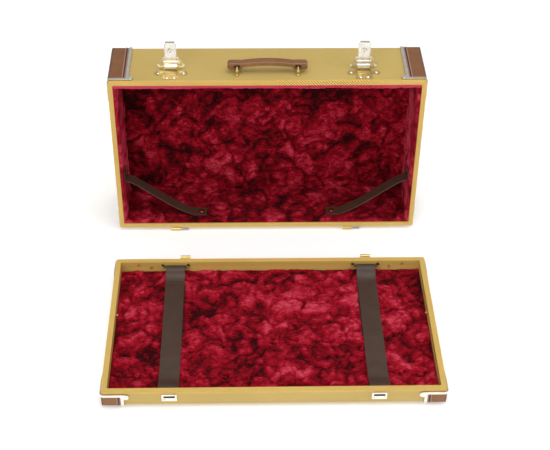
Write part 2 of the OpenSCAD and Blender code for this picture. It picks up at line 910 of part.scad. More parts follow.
module cover_hinge_pins() {
    color([0.6, 0.6, 0.6]) on_cover_hinge_wall() for (side = [-1, 1])
        translate([side * hinge_x - leaf_gap - leaf_w, hinge_out, rim_gap / 2])
            rotate([0, 90, 0]) cylinder(r = pin_r, h = leaf_w + pin_reach);
}

module cover_hinge_screws() {
    color([0.83, 0.66, 0.3]) on_cover_hinge_wall() at_cover_screws() fastener(2.3, 1, 1.2, leaf_t, blind);
}

module left_stay_strap() {
    in_cover() mirror([1, 0, 0]) stay_strap();
}

module right_stay_strap() {
    in_cover() stay_strap();
}

module stay_strap_rivets() {
    color([0.83, 0.66, 0.3]) in_cover() at_stay_anchors() fastener(3.5, 1.2, 1.4, stay_t + 0.3, plush_t + 6);
}

module stay_snap_caps() {
    low = wall_in + plush_t + 0.5;
    color([0.55, 0.25, 0.15]) in_cover() left_and_right() translate([136, stay_d, low]) {
        cylinder(r = 1.4, h = stay_t);
        translate([0, 0, stay_t]) dome(5, 2);
    }
}

module cover_glides() {
    color([0.83, 0.66, 0.3]) in_cover() at_cover_glides() glide();
}

module handle_loops() {
    on_handle_wall() for (x = [-handle_loop_x, handle_loop_x])
        translate([x, handle_d, 0]) handle_loop();
}

module handle_loop_nuts() {
    color([0.8, 0.8, 0.78]) on_handle_wall() at_handle_legs() translate([0, 0, -wall_in - 3.2]) difference() {
        cylinder(r = 4, h = 3.2, $fn = 6);
        translate([0, 0, -cut]) cylinder(r = 1.95, h = 6);
    }
}

module latch_base_plates() {
    latch_pair() latch_base_plate();
}

module latch_rivets() {
    color([0.9, 0.9, 0.86]) on_handle_wall() at_latch_rivets() fastener(3.4, 1.8, 1.5, sheet_t, blind);
}

module latch_pivot_pins() {
    color([0.8, 0.8, 0.78]) latch_pair() x_rod(pivot_pin_r, barrel_half + 1.9);
}

// ---------- Handle and latch nodes ----------

module handle_strap() {
    color([0.52, 0.37, 0.24]) on_handle_wall() translate([0, handle_d + handle_w / 2, 0])
        rotate([90, 0, 0]) linear_extrude(handle_w) handle_side();
}

module left_hasp() {
    latch_frame() translate([-latch_x, 0, 0]) hasp();
}

module left_lever_pin() {
    latch_frame() translate([-latch_x, 0, 0]) lever_pin();
}

module left_lever() {
    latch_frame() translate([-latch_x, 0, 0]) lever();
}

module right_hasp() {
    latch_frame() translate([latch_x, 0, 0]) hasp();
}

module right_lever_pin() {
    latch_frame() translate([latch_x, 0, 0]) lever_pin();
}

module right_lever() {
    latch_frame() translate([latch_x, 0, 0]) lever();
}

base_panel();
base_front_wall();
base_back_wall();
base_left_wall();
base_right_wall();
base_tweed_skin();
base_rim_binding();
base_side_lining();
base_plush_pad();
base_corner_leathers();
base_corner_trims();
base_corner_rivets();
base_strikes();
base_strike_rivets();
base_hinge_leaves();
base_hinge_screws();
left_tie_strap();
right_tie_strap();
strap_wire_loops();
strap_loop_screws();
stay_studs();
base_feet();
base_foot_screws();
base_back_glides();
hinge_socket_tubes();
cover_panel();
cover_handle_wall();
cover_hinge_wall();
cover_left_wall();
cover_right_wall();
cover_tweed_skin();
cover_rim_binding();
cover_side_lining();
cover_panel_lining();
cover_corner_leathers();
cover_corner_trims();
cover_corner_rivets();
cover_hinge_leaves();
cover_hinge_pins();
cover_hinge_screws();
left_stay_strap();
right_stay_strap();
stay_strap_rivets();
stay_snap_caps();
cover_glides();
handle_loops();
handle_loop_nuts();
latch_base_plates();
latch_rivets();
latch_pivot_pins();
handle_strap();
left_hasp();
left_lever_pin();
left_lever();
right_hasp();
right_lever_pin();
right_lever();
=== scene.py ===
"""Looks of a two-part tweed carrying case: a plush-lined cover standing behind its base tray."""

import json
import math

import bmesh
import bpy
from mathutils import Matrix, Vector, noise

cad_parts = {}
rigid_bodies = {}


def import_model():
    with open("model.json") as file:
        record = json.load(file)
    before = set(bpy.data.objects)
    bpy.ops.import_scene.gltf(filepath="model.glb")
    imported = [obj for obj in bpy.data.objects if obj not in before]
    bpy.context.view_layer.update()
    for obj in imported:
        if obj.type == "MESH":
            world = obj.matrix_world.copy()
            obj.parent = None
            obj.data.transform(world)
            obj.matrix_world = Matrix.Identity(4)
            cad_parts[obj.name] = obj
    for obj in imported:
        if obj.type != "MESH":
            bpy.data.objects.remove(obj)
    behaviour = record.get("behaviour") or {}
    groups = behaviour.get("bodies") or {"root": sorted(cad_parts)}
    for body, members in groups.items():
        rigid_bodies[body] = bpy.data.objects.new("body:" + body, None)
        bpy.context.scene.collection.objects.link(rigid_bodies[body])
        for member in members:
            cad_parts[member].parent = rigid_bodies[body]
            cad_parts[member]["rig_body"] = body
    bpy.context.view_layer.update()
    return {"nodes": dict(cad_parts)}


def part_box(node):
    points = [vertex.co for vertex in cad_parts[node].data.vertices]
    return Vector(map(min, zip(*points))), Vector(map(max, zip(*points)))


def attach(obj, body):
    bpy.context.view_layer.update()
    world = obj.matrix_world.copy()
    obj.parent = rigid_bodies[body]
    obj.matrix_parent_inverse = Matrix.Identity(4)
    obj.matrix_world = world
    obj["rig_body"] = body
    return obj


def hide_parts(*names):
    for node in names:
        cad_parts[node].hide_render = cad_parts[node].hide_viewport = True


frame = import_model()

MM = 0.001


# ---------- Places, in metres, read from the frame ----------

cover_lo, cover_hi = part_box("cover_tweed_skin")
base_lo, base_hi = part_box("base_tweed_skin")
RIM_STEP = 1 * MM  # the woven skin stops this far short of the rim
CASE_W = cover_hi.x - cover_lo.x
CASE_H = cover_hi.z - cover_lo.z
COVER_D = cover_hi.y - cover_lo.y + RIM_STEP
BASE_D = base_hi.z - base_lo.z + RIM_STEP
HALF_W = CASE_W / 2
HALF_H = CASE_H / 2
COVER_X = (cover_lo.x + cover_hi.x) / 2
COVER_Z = (cover_lo.z + cover_hi.z) / 2
BASE_X = (base_lo.x + base_hi.x) / 2
BASE_Y = (base_lo.y + base_hi.y) / 2
RIM_Y = cover_lo.y - RIM_STEP
WALL_IN = 8 * MM
FLOOR_IN = 7 * MM
PAD_T = 8 * MM
EDGE_R = 4.5 * MM

# Half-shell frames: x across, y along the case's height, z from the big face to the rim
BASE_SHELL = Matrix.Translation((BASE_X, BASE_Y, base_lo.z))
COVER_SHELL = Matrix.Translation((COVER_X, cover_hi.y, COVER_Z)) @ Matrix.Rotation(math.pi / 2, 4, "X")


# ---------- Shader maths ----------


def srgb(red, green, blue):
    """A linear colour from screen values of 0 to 255."""
    def linear(value):
        value /= 255
        return value / 12.92 if value <= 0.04045 else ((value + 0.055) / 1.055) ** 2.4

    return (linear(red), linear(green), linear(blue), 1.0)


class Value:
    """An output socket that adds Math nodes when it is used in an expression."""

    def __init__(self, finish, socket):
        self.finish = finish
        self.socket = socket

    def math(self, operation, *terms):
        return self.finish.node("ShaderNodeMath", {"operation": operation}, dict(enumerate(terms)))

    def __add__(self, other):
        return self.math("ADD", self, other)

    def __radd__(self, other):
        return self.math("ADD", other, self)

    def __sub__(self, other):
        return self.math("SUBTRACT", self, other)

    def __rsub__(self, other):
        return self.math("SUBTRACT", other, self)

    def __mul__(self, other):
        return self.math("MULTIPLY", self, other)

    def __rmul__(self, other):
        return self.math("MULTIPLY", other, self)

    def __truediv__(self, other):
        return self.math("DIVIDE", self, other)

    def __abs__(self):
        return self.math("ABSOLUTE", self)

    def __gt__(self, other):
        return self.math("GREATER_THAN", self, other)

    def __lt__(self, other):
        return self.math("LESS_THAN", self, other)

    def fraction(self):
        return self.math("FRACT", self)

    def larger(self, other):
        return self.math("MAXIMUM", self, other)

    def smaller(self, other):
        return self.math("MINIMUM", self, other)

    def sine(self):
        return self.math("SINE", self)

    def clamped(self):
        return self.math("MINIMUM", self.math("MAXIMUM", self, 0.0), 1.0)


class Finish:
    """A material being made. Constants go on the shader's own sockets; done() joins what varies."""

    def __init__(self, name, **constants):
        self.material = bpy.data.materials.new(name)
        self.material.use_nodes = True
        self.tree = self.material.node_tree
        self.shader = self.tree.nodes["Principled BSDF"]
        for socket, value in constants.items():
            self.shader.inputs[socket.replace("_", " ")].default_value = value

    def node(self, kind, settings=None, inputs=None, output=0):
        """Adds one node: its settings first, then the values or links of its sockets."""
        made = self.tree.nodes.new(kind)
        for name, setting in (settings or {}).items():
            if name == "stops":
                ramp = made.color_ramp
                while len(ramp.elements) < len(setting):
                    ramp.elements.new(1.0)
                for element, (position, colour) in zip(ramp.elements, setting):
                    element.position = position
                    element.color = colour
            else:
                setattr(made, name, setting)
        for name, value in (inputs or {}).items():
            self.feed(made.inputs[name], value)
        return Value(self, made.outputs[output])

    def feed(self, socket, value):
        if isinstance(value, Value):
            self.tree.links.new(value.socket, socket)
        else:
            socket.default_value = value

    def place(self, source="Object"):
        return self.node("ShaderNodeTexCoord", output=source)

    def axes(self, vector):
        return [self.node("ShaderNodeSeparateXYZ", None, {0: vector}, axis) for axis in range(3)]

    def moved(self, vector, location=(0, 0, 0), rotation=(0, 0, 0), scale=(1, 1, 1)):
        return self.node("ShaderNodeMapping", {"vector_type": "POINT"}, {
            "Vector": vector, "Location": location, "Rotation": rotation, "Scale": scale})

    def noise(self, vector, scale, detail=4.0, roughness=0.55, distortion=0.0):
        return self.node("ShaderNodeTexNoise", {"noise_dimensions": "3D"}, {
            "Vector": vector, "Scale": scale, "Detail": detail, "Roughness": roughness,
            "Distortion": distortion})

    def cells(self, vector, scale, feature="F1"):
        return self.node("ShaderNodeTexVoronoi", {"feature": feature}, {"Vector": vector, "Scale": scale})

    def ramp(self, factor, *stops):
        return self.node("ShaderNodeValToRGB", {"stops": stops}, {"Fac": factor})

    def blend(self, factor, under, over, mode="MIX"):
        """Colour blend: factor 0 shows under and factor 1 shows over."""
        return self.node("ShaderNodeMix", {"data_type": "RGBA", "blend_type": mode}, {
            0: factor, 6: under, 7: over}, output=2)

    def done(self, colour=None, roughness=None, height=None, depth=0.2 * MM, strength=1.0):
        if colour is not None:
            self.feed(self.shader.inputs["Base Color"], colour)
        if roughness is not None:
            self.feed(self.shader.inputs["Roughness"], roughness)
        if height is not None:
            bump = self.node("ShaderNodeBump", None, {"Strength": strength, "Distance": depth, "Height": height})
            self.feed(self.shader.inputs["Normal"], bump)
        return self.material


# ---------- Finishes ----------


def woven(name, light, dark, gap, twill, thread, contrast):
    """Lacquered twill: diagonal ribs of two yarns, their threads, and a slow drift of colour."""
    finish = Finish(name, Coat_Weight=0.12, Coat_Roughness=0.35, Specular_IOR_Level=0.35)
    cloth = finish.place("UV")
    u, v, _ = finish.axes(cloth)
    wobble = finish.noise(cloth, 220.0, 2.0)
    rib = (((u + v) / twill + wobble * 0.5) * (2 * math.pi)).sine() * 0.5 + 0.5
    across = (u * (2 * math.pi / thread)).sine() * 0.5 + 0.5
    along = (v * (2 * math.pi / thread)).sine() * 0.5 + 0.5
    yarn = across * rib + along * (1 - rib)
    speckle = finish.noise(cloth, 1500.0, 2.0, 0.7)
    drift = finish.noise(cloth, 9.0, 3.0)
    shown = (rib * 0.45 + yarn * 0.25 + speckle * 0.6 - 0.15) * contrast + 0.5 * (1 - contrast)
    colour = finish.ramp(shown.clamped(), (0.08, gap), (0.38, dark), (0.72, light), (1.0, light))
    colour = finish.blend((drift - 0.35) * 0.35, colour, srgb(176, 142, 66), "MULTIPLY")
    roughness = 0.62 - yarn * 0.18
    return finish.done(colour, roughness, rib * 0.5 + yarn * 0.5 + speckle * 0.3, 0.28 * MM, 0.6)


def plush(name, dark, mid, bright, tip, clump_scale):
    """Crushed plush: painted shade from the piece's own depth, darker in its creases, and streaks of pile that lean
    different ways.
    """
    finish = Finish(name, Roughness=0.9, Sheen_Weight=0.12, Sheen_Roughness=0.5,
                    Sheen_Tint=(0.9, 0.12, 0.2, 1.0), Specular_IOR_Level=0.08)
    cloth = finish.place()
    fold = finish.node("ShaderNodeAttribute", {"attribute_name": "fold"}, output="Fac")
    warp = finish.node("ShaderNodeTexNoise", None, {"Vector": cloth, "Scale": 30.0, "Detail": 3.0}, 1)
    pushed = finish.node("ShaderNodeVectorMath", {"operation": "MULTIPLY_ADD"}, {
        0: warp, 1: (0.03, 0.03, 0.03), 2: cloth})
    patch = finish.noise(cloth, 8.0, 2.0)
    clump = finish.noise(pushed, clump_scale, 5.0, 0.6, 0.5)
    lean = finish.noise(cloth, clump_scale * 0.8, 2.0, 0.5, 0.6)
    turns = ((0.25, 0.2, 0.5), (0.3, -1.2, 1.4), (-0.7, -0.8, 2.4))
    streaks = [finish.noise(finish.moved(pushed, rotation=turn, scale=(90, 560, 560)), 1.0, 2.0, 0.65)
               for turn in turns]
    first = ((lean - 0.44) * 16).clamped()
    second = ((lean - 0.55) * 16).clamped()
    fibre = streaks[0] * (1 - first) + streaks[1] * (first - second) + streaks[2] * second
    # Painted shade and light: the slab's attribute darkens the pile in its creases and on shaded parts and brightens
    # it where light falls; the noises add the pile's own tone.
    pile_tone_and_shading = fold * 0.42 + clump * 0.62 + fibre * 0.75 + patch * 0.5 - 0.69
    colour = finish.ramp(pile_tone_and_shading, (0.27, dark), (0.43, mid), (0.57, bright), (0.80, tip))
    return finish.done(colour, None, clump * 0.4 + fibre * 0.9 + fold * 0.3, 2.4 * MM, 0.8)


def leather(name, base, deep, grain=900.0, bands=None, edge=None):
    """Grained leather with a mottled dye; bands adds colour stripes and edge a painted highlight along an edge."""
    finish = Finish(name, Coat_Weight=0.15, Coat_Roughness=0.3, Specular_IOR_Level=0.45)
    hide = finish.place()
    mottle = finish.noise(hide, 45.0, 5.0, 0.6)
    pores = finish.cells(hide, grain)
    crease = finish.noise(hide, 260.0, 4.0, 0.6)
    colour = finish.blend((mottle * 1.3 - 0.15).clamped(), deep, base)
    colour = finish.blend((crease - 0.55).clamped() * 1.6, colour, deep)
    if bands:
        colour = bands(finish, hide, colour)
    if edge:
        colour = edge(finish, hide, colour)
    roughness = 0.42 + crease * 0.22
    return finish.done(colour, roughness, pores * 0.5 + crease * 0.8, 0.18 * MM, 0.55)


def cap_bands(centre, up):
    """Stripes of a corner cap, set by the distance in from the case's corner: piping, stripe, piping."""
    def paint(finish, hide, colour):
        parts = finish.axes(finish.moved(hide, location=[-value for value in centre]))
        inward = (HALF_W - abs(parts[0])).larger(HALF_H - abs(parts[up]))
        for start, end, stripe in (
            (26.2, 28.4, srgb(176, 132, 110)),
            (28.4, 31.2, srgb(58, 30, 18)),
            (31.2, 34.4, srgb(150, 112, 96)),
        ):
            inside = (inward > start * MM) * (inward < end * MM)
            colour = finish.blend(inside, colour, stripe)
        return finish.blend((inward < 3 * MM) * 0.55, colour, srgb(58, 32, 22))

    return paint


def painted_edge_highlight(middle, reach):
    """A painted highlight: a lighter line along both long sides of the handle strap."""
    def paint(finish, hide, colour):
        across = abs(finish.axes(hide)[1] - middle)
        # Painted highlight: a narrow light band on each long side of the strap.
        wear_and_highlight = 1 - (abs(across - reach) * 1400).clamped()
        return finish.blend(wear_and_highlight * 0.8, colour, srgb(206, 160, 126))

    return paint


def metal(name, colour, tint, low, high, scratch=0.35):
    """Plated metal: fine rubbed streaks and small stains in its polish."""
    finish = Finish(name, Metallic=1.0)
    stock = finish.place()
    rub = finish.noise(finish.moved(stock, scale=(60, 1400, 1400)), 1.0, 3.0)
    stain = finish.noise(stock, 120.0, 4.0, 0.6)
    shown = finish.blend((stain * 1.4 - 0.45).clamped(), colour, tint)
    roughness = low + (rub * scratch + stain * (1 - scratch)) * (high - low)
    return finish.done(shown, roughness, rub, 0.02 * MM, 0.25)


def wooden():
    finish = Finish("birch_ply", Roughness=0.6)
    board = finish.place()
    grain = finish.noise(finish.moved(board, scale=(8, 90, 90)), 1.0, 5.0, 0.6, 0.6)
    ply = (finish.axes(board)[2] * 700).fraction()
    colour = finish.ramp(grain, (0.3, srgb(176, 138, 92)), (0.7, srgb(222, 190, 142)))
    colour = finish.blend((ply > 0.5) * 0.2, colour, srgb(140, 100, 62))
    return finish.done(colour, 0.55 + grain * 0.2, grain, 0.1 * MM, 0.4)


def moulded(name, colour, wear_and_highlight):
    """Rubber or plain dark stock with a dusty, slightly uneven face."""
    finish = Finish(name, Specular_IOR_Level=0.35)
    stock = finish.place()
    dust = finish.noise(stock, 160.0, 5.0, 0.65)
    shown = finish.blend((dust * 1.2 - 0.3).clamped(), colour, wear_and_highlight)
    return finish.done(shown, 0.55 + dust * 0.3, dust, 0.1 * MM, 0.5)


def thread(name, colour):
    finish = Finish(name, Roughness=0.7)
    spun = finish.place()
    twist = (finish.axes(finish.moved(spun, rotation=(0.6, 0.6, 0.6)))[0] * 9000).sine() * 0.5 + 0.5
    return finish.done(finish.blend(twist * 0.5, colour, (0.02, 0.015, 0.01, 1.0)), None, twist, 0.1 * MM, 0.6)


TWEED = woven("golden_tweed", srgb(214, 188, 112), srgb(186, 156, 82), srgb(120, 92, 40), 2.8 * MM, 0.9 * MM, 0.75)
INNER_TWEED = woven("inner_tweed", srgb(240, 208, 122), srgb(208, 172, 86), srgb(132, 102, 46), 2.8 * MM, 0.9 * MM, 0.75)
BINDING = woven("golden_binding", srgb(246, 214, 124), srgb(204, 160, 66), srgb(92, 60, 14), 5.6 * MM, 1.9 * MM, 1.5)
# One plush cloth in two copies: the pad's slightly lighter colours are painted light where it faces up to the lamps,
# the cover's darker ones painted shade inside the cover.
COVER_PLUSH = plush("crimson_plush", srgb(36, 0, 2), srgb(112, 0, 14), srgb(156, 12, 34), srgb(204, 68, 90), 24.0)
BASE_PLUSH = plush("crimson_pad_plush", srgb(44, 0, 3), srgb(124, 2, 18), srgb(162, 16, 38), srgb(206, 72, 92), 24.0)
COVER_CAPS = leather("cover_cap_leather", srgb(140, 90, 46), srgb(104, 62, 30),
                     bands=cap_bands((COVER_X, 0, COVER_Z), 2))
BASE_CAPS = leather("base_cap_leather", srgb(150, 100, 52), srgb(114, 72, 36),
                    bands=cap_bands((BASE_X, BASE_Y, 0), 1))
HANDLE_Y = sum(corner.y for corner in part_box("handle_strap")) / 2
HANDLE_LEATHER = leather("handle_leather", srgb(146, 100, 54), srgb(102, 62, 30),
                         edge=painted_edge_highlight(HANDLE_Y, 7.4 * MM))
STRAP_LEATHER = leather("strap_leather", srgb(74, 52, 38), srgb(54, 38, 27), 1300.0)
PIPING = leather("piping_leather", srgb(196, 152, 128), srgb(150, 106, 84), 1600.0)
NICKEL = metal("bright_nickel", srgb(240, 238, 230), srgb(206, 200, 186), 0.12, 0.28)
BRASS = metal("polished_brass", srgb(226, 202, 138), srgb(176, 142, 76), 0.20, 0.38)
STEEL = metal("plain_steel", srgb(160, 160, 158), srgb(110, 110, 110), 0.24, 0.42)
DARK_WIRE = metal("bronzed_wire", srgb(70, 58, 46), srgb(40, 32, 24), 0.3, 0.5)
COPPER = metal("copper_cap", srgb(170, 70, 44), srgb(120, 34, 22), 0.2, 0.4)
PLYWOOD = wooden()
RUBBER = moulded("black_rubber", srgb(26, 26, 26), srgb(58, 56, 54))
HOOK_TAPE = moulded("black_tape", srgb(16, 14, 14), srgb(40, 34, 32))
STRAP_THREAD = thread("strap_thread", srgb(118, 84, 72))
HANDLE_THREAD = thread("handle_thread", srgb(84, 50, 34))


# ---------- Making pieces ----------


def piece(name, bm, material, body, sharp=40):
    """Turns a bmesh into a piece of the object that rides on a body."""
    mesh = bpy.data.meshes.new(name)
    bm.to_mesh(mesh)
    bm.free()
    mesh.materials.append(material)
    mesh.shade_smooth()
    mesh.set_sharp_from_angle(angle=math.radians(sharp))
    made = bpy.data.objects.new(name, mesh)
    bpy.context.scene.collection.objects.link(made)
    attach(made, body)
    return made


def wrap_cloth(bm):
    """Lays cloth coordinates in metres on every face, along the two axes that the face spans."""
    cloth = bm.loops.layers.uv.new("cloth")
    for face in bm.faces:
        size = [abs(value) for value in face.normal]
        away = size.index(max(size))
        first, second = [axis for axis in range(3) if axis != away]
        for loop in face.loops:
            loop[cloth].uv = (loop.vert.co[first], loop.vert.co[second])


def refined(node, material, bevel=0.0, segments=2, cloth=False):
    """A merged copy of a CAD node with its edges eased, in its place."""
    bm = bmesh.new()
    bm.from_mesh(frame["nodes"][node].data)
    bmesh.ops.remove_doubles(bm, verts=bm.verts, dist=0.004 * MM)
    bmesh.ops.dissolve_limit(bm, angle_limit=math.radians(0.4), verts=bm.verts, edges=bm.edges,
                             use_dissolve_boundaries=False)
    bm.normal_update()
    if cloth:
        wrap_cloth(bm)
    made = piece(node + "_finished", bm, material, frame["nodes"][node]["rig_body"])
    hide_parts(node)
    if bevel:
        eased = made.modifiers.new("eased_edges", "BEVEL")
        eased.width = bevel
        eased.segments = segments
        eased.limit_method = "ANGLE"
        eased.angle_limit = math.radians(50)
        eased.use_clamp_overlap = True
    return made


# ---------- Coverings, trims and hardware ----------

for half in ("base", "cover"):
    refined(half + "_tweed_skin", TWEED, cloth=True)
    refined(half + "_rim_binding", BINDING, 0.25 * MM, cloth=True)
    refined(half + "_corner_leathers", COVER_CAPS if half == "cover" else BASE_CAPS, 0.4 * MM)
    refined(half + "_corner_trims", NICKEL, 0.4 * MM)
    refined(half + "_corner_rivets", NICKEL)
    refined(half + "_hinge_leaves", BRASS, 0.2 * MM)
    refined(half + "_hinge_screws", BRASS)
refined("base_side_lining", INNER_TWEED, cloth=True)

for node, material, slot, bevel in (
    ("base_strikes", NICKEL, "nickel_trim", 0.3),
    ("base_strike_rivets", NICKEL, "nickel_trim", 0),
    ("strap_wire_loops", DARK_WIRE, "dark_wire", 0.2),
    ("strap_loop_screws", BRASS, "brass", 0),
    ("stay_studs", BRASS, "brass", 0),
    ("base_feet", RUBBER, "foot_rubber", 0.5),
    ("base_foot_screws", STEEL, "zinc_screws", 0),
    ("base_back_glides", BRASS, "brass", 0),
    ("hinge_socket_tubes", STEEL, "hinge_steel", 0.1),
    ("cover_hinge_pins", STEEL, "hinge_steel", 0.2),
    ("stay_strap_rivets", BRASS, "brass", 0),
    ("stay_snap_caps", COPPER, "copper_cap", 0),
    ("cover_glides", BRASS, "brass", 0),
    ("handle_loops", BRASS, "brass", 0),
    ("handle_loop_nuts", STEEL, "zinc_screws", 0.2),
    ("latch_base_plates", BRASS, "brass", 0.25),
    ("latch_rivets", NICKEL, "nickel_trim", 0),
    ("latch_pivot_pins", STEEL, "hinge_steel", 0.2),
    ("left_hasp", NICKEL, "nickel_trim", 0.25),
    ("right_hasp", NICKEL, "nickel_trim", 0.25),
    ("left_lever_pin", STEEL, "hinge_steel", 0.2),
    ("right_lever_pin", STEEL, "hinge_steel", 0.2),
    ("left_lever", NICKEL, "nickel_trim", 0.3),
    ("right_lever", NICKEL, "nickel_trim", 0.3),
):
    refined(node, material, bevel * MM)

for name, node in frame["nodes"].items():
    if name.endswith(("_panel", "_wall")):
        node.data.materials.clear()
        node.data.materials.append(PLYWOOD)


def tube(path, radius, sides=10):
    """A closed round bead along a path: one ring of vertices extruded from point to point."""
    bm = bmesh.new()
    ring = bmesh.ops.create_circle(bm, cap_ends=False, segments=sides, radius=radius)["verts"]
    rim = list({edge for vert in ring for edge in vert.link_edges})
    aim = Vector((0, 0, 1))
    spot = Vector((0, 0, 0))
    ends = [rim]
    for index, point in enumerate(path):
        before = path[max(index - 1, 0)]
        after = path[min(index + 1, len(path) - 1)]
        heading = (after - before).normalized()
        if index:
            grown = bmesh.ops.extrude_edge_only(bm, edges=rim)["geom"]
            ring = [item for item in grown if isinstance(item, bmesh.types.BMVert)]
            rim = [item for item in grown if isinstance(item, bmesh.types.BMEdge)
                   and all(vert in ring for vert in item.verts)]
        turn = aim.rotation_difference(heading).to_matrix()
        bmesh.ops.translate(bm, verts=ring, vec=-spot)
        bmesh.ops.rotate(bm, verts=ring, cent=(0, 0, 0), matrix=turn)
        bmesh.ops.translate(bm, verts=ring, vec=point)
        aim = heading
        spot = point
    ends.append(rim)
    for end in ends:
        bmesh.ops.contextual_create(bm, geom=end)
    bmesh.ops.recalc_face_normals(bm, faces=bm.faces)
    return bm


def copied(target, source, matrix):
    """Adds a placed copy of one bmesh to another."""
    mesh = bpy.data.meshes.new("part")
    source.to_mesh(mesh)
    mesh.transform(matrix)
    if matrix.determinant() < 0:
        mesh.flip_normals()
    target.from_mesh(mesh)
    bpy.data.meshes.remove(mesh)


def cap_piping(depth):
    """Bead round one corner cap: up one wall, over the big face in an L, and down the other wall."""
    lift = 2.0 * MM
    inset = 27.4 * MM
    x = HALF_W - inset
    y = HALF_H - inset
    high = depth - 12.5 * MM
    arc = EDGE_R + lift
    bend = [math.radians(step * 15) for step in range(7)]
    path = [Vector((x, HALF_H + lift, high)), Vector((x, HALF_H + lift, EDGE_R))]
    path += [Vector((x, HALF_H - EDGE_R + arc * math.cos(turn), EDGE_R - arc * math.sin(turn))) for turn in bend[1:]]
    path += [Vector((x, y, -lift))]
    path += [Vector((HALF_W - EDGE_R + arc * math.sin(turn), y, EDGE_R - arc * math.cos(turn))) for turn in bend]
    path += [Vector((HALF_W + lift, y, high))]
    return tube(path, 0.9 * MM)


for half, shell, depth in (("base", BASE_SHELL, BASE_D), ("cover", COVER_SHELL, COVER_D)):
    bead = cap_piping(depth)
    beads = bmesh.new()
    for flip_x in (1, -1):
        for flip_y in (1, -1):
            copied(beads, bead, shell @ Matrix.Diagonal((flip_x, flip_y, 1, 1)))
    bead.free()
    piece(half + "_cap_piping", beads, PIPING, half)


# ---------- Plush ----------


def relief(x, y, seed):
    """Height from 0 to 1 of crushed pile: puffy lumps with sharp creases between them."""
    spot = Vector((x * 24, y * 24, seed * 3.7))
    swirl = noise.noise_vector(spot * 1.3) * 0.7
    lump = min(1.0, abs(noise.noise(spot + swirl)) * 2.6)
    small = min(1.0, abs(noise.noise(spot * 2.9 + swirl)) * 2.4)
    grain = noise.noise(spot * 7.5) * 0.5 + 0.5
    return lump * 0.5 + small * 0.32 + grain * 0.18


def plush_slab(name, size, thick, pile, place, material, body, seed, pressed=None, lean=None, painted_highlight_edge=None):
    """A lining slab: its front a crushed pile, its sides rounded off, its back flat on the wall.

    size is across and up, in the slab's own plane; pressed(x, y) gives how much pile is left under a strap.
    lean(x, y) adds painted light and shade to the pile's colour; the last argument paints a highlight along the edge
    at that sign of y.
    """
    wide, tall = size
    step = 2.3 * MM
    bm = bmesh.new()
    bmesh.ops.create_grid(bm, x_segments=round(wide / step), y_segments=round(tall / step), size=0.5)
    bmesh.ops.scale(bm, verts=bm.verts, vec=(wide, tall, 1))
    fold = bm.verts.layers.float.new("fold")
    for vert in bm.verts:
        x, y = vert.co.x, vert.co.y
        inset = min(wide / 2 - abs(x), tall / 2 - abs(y))
        rise = min(1.0, inset / (5 * MM))
        crown = math.sqrt(max(0.0, 1 - (1 - rise) ** 2))
        left = pressed(x, y) if pressed else 1.0
        # Painted shade: the pile's colour follows its relief, darker in the creases.
        vert[fold] = relief(x, y, seed)
        height = (vert[fold] - 0.75) * pile * left
        push = noise.noise_vector(Vector((x * 160, y * 160, seed + 7))) * (1.1 * MM * crown * left)
        vert.co.x += push.x
        vert.co.y += push.y
        vert.co.z = thick * (0.5 + 0.5 * crown) + height * (0.35 + 0.65 * crown)
        # Painted light and shade from lean, added to the pile's colour attribute.
        if lean:
            vert[fold] += lean(x, y)
        # Painted highlight: the pile's colour is set bright in a band along the chosen edge.
        if painted_highlight_edge and tall / 2 - y * painted_highlight_edge < 7 * MM:
            vert[fold] = 1.3
    rim = [edge for edge in bm.edges if edge.is_boundary]
    skirt = bmesh.ops.extrude_edge_only(bm, edges=rim)["geom"]
    foot = [item for item in skirt if isinstance(item, bmesh.types.BMVert)]
    for vert in foot:
        vert.co.z = 0
    back = [item for item in skirt if isinstance(item, bmesh.types.BMEdge) and all(v in foot for v in item.verts)]
    bmesh.ops.contextual_create(bm, geom=back)
    bmesh.ops.recalc_face_normals(bm, faces=bm.faces)
    bmesh.ops.transform(bm, matrix=place, verts=bm.verts)
    made = piece(name, bm, material, body, sharp=75)
    return made


def facing(origin, right, up):
    """A frame at origin whose x runs right, y up, and z out of the wall."""
    out = Vector(right).cross(Vector(up))
    columns = Matrix((Vector(right), Vector(up), out)).transposed().to_4x4()
    return Matrix.Translation(origin) @ columns


INNER_W = CASE_W - 2 * WALL_IN
INNER_H = CASE_H - 2 * WALL_IN
LINING_T = 7 * MM
LINING_D = COVER_D - FLOOR_IN - 3.4 * MM
middle_y = cover_hi.y - FLOOR_IN - LINING_D / 2
ROOF_LIP = 2.4 * MM  # how much nearer the rim the roof's pile comes than the other sides'
low_z = COVER_Z - INNER_H / 2
high_z = COVER_Z + INNER_H / 2

STAY_X = 137 * MM
STAY_IN = 32 * MM


def under_tabs(x, y):
    """Share of the pile left on the cover's floor, pressed flat below the two stay strap tabs."""
    clear_x = abs(abs(x) - STAY_X) - 14 * MM
    clear_y = abs(y + LINING_D / 2 - (STAY_IN - 3.4 * MM)) - 14 * MM
    return max(0.0, min(1.0, max(clear_x, clear_y) / (6 * MM)))


def panel_shade_and_pile_lie(x, y):
    """Painted shade on the panel: darker towards its top and its left end, where shade falls, and partly where the
    pile lies over.
    """
    top = max(0.0, min(1.0, (y - 10 * MM) / (110 * MM)))
    left = max(0.0, min(1.0, (-x - 130 * MM) / (110 * MM)))
    return -0.3 * top - 0.22 * left


def upright(x, y):
    """Painted light on the side walls: their pile shows brighter, as they face the light."""
    return 0.4


panel_plush = plush_slab(
    "cover_panel_plush", (INNER_W, INNER_H), LINING_T, 5.0 * MM,
    facing((COVER_X, cover_hi.y - FLOOR_IN, COVER_Z), (1, 0, 0), (0, 0, 1)), COVER_PLUSH, "cover", 1, lean=panel_shade_and_pile_lie)
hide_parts("cover_panel_lining")

